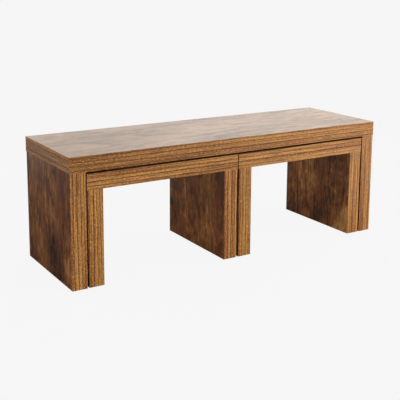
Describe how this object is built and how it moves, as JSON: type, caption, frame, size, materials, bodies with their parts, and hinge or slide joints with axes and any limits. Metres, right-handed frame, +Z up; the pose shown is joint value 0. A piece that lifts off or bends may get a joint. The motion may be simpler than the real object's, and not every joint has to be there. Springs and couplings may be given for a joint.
{
  "type": "nest of tables",
  "caption": "Nest of thick-panelled tables: small side tables slide out from under a long low coffee table; all stand on full-depth side panels, open front and back.",
  "frame": {"origin": "on the floor, under the centre of the long table", "axes": "+X along the long table to its right end, -Y towards the front that the small tables are drawn out of, +Z up"},
  "size_m": [1.2, 0.37, 0.415],
  "materials": {
    "face_foil": "rustic dark brown wood-print foil on thin fibreboard, satin lacquer",
    "edge_band": "golden brown straight-grain edge band, satin",
    "chipboard": "raw chipboard",
    "paper_core": "brown kraft paper",
    "beech": "turned beech",
    "bolt_steel": "bright zinc-plated steel",
    "cam_zinc": "die-cast zinc",
    "cap_plastic": "dark brown moulded plastic",
    "glide_plastic": "black moulded plastic"
  },
  "bodies": {
    "long_table": {"long_table_top_upper_skin": "face_foil", "long_table_top_lower_skin": "face_foil", "long_table_top_rails": "chipboard", "long_table_top_core": "paper_core", "long_table_top_bands": "edge_band", "long_table_left_outer_skin": "face_foil", "long_table_left_inner_skin": "face_foil", "long_table_left_rails": "chipboard", "long_table_left_core": "paper_core", "long_table_left_bands": "edge_band", "long_table_right_outer_skin": "face_foil", "long_table_right_inner_skin": "face_foil", "long_table_right_rails": "chipboard", "long_table_right_core": "paper_core", "long_table_right_bands": "edge_band", "long_table_dowels": "beech", "long_table_cam_bolts": "bolt_steel", "long_table_cam_locks": "cam_zinc", "long_table_cam_caps": "cap_plastic", "long_table_glides": "glide_plastic"},
    "left_table": {"left_table_top_upper_skin": "face_foil", "left_table_top_lower_skin": "face_foil", "left_table_top_rails": "chipboard", "left_table_top_core": "paper_core", "left_table_top_bands": "edge_band", "left_table_left_outer_skin": "face_foil", "left_table_left_inner_skin": "face_foil", "left_table_left_rails": "chipboard", "left_table_left_core": "paper_core", "left_table_left_bands": "edge_band", "left_table_right_outer_skin": "face_foil", "left_table_right_inner_skin": "face_foil", "left_table_right_rails": "chipboard", "left_table_right_core": "paper_core", "left_table_right_bands": "edge_band", "left_table_dowels": "beech", "left_table_cam_bolts": "bolt_steel", "left_table_cam_locks": "cam_zinc", "left_table_cam_caps": "cap_plastic", "left_table_glides": "glide_plastic"},
    "right_table": {"right_table_top_upper_skin": "face_foil", "right_table_top_lower_skin": "face_foil", "right_table_top_rails": "chipboard", "right_table_top_core": "paper_core", "right_table_top_bands": "edge_band", "right_table_left_outer_skin": "face_foil", "right_table_left_inner_skin": "face_foil", "right_table_left_rails": "chipboard", "right_table_left_core": "paper_core", "right_table_left_bands": "edge_band", "right_table_right_outer_skin": "face_foil", "right_table_right_inner_skin": "face_foil", "right_table_right_rails": "chipboard", "right_table_right_core": "paper_core", "right_table_right_bands": "edge_band", "right_table_dowels": "beech", "right_table_cam_bolts": "bolt_steel", "right_table_cam_locks": "cam_zinc", "right_table_cam_caps": "cap_plastic", "right_table_glides": "glide_plastic"}
  },
  "joints": [
    {"name": "left_table_slide", "type": "slide", "parent": "long_table", "child": "left_table", "axis": [0, -1, 0], "range_m": [-0.4, 0.4]},
    {"name": "right_table_slide", "type": "slide", "parent": "long_table", "child": "right_table", "axis": [0, -1, 0], "range_m": [-0.4, 0.4]}
  ]
}
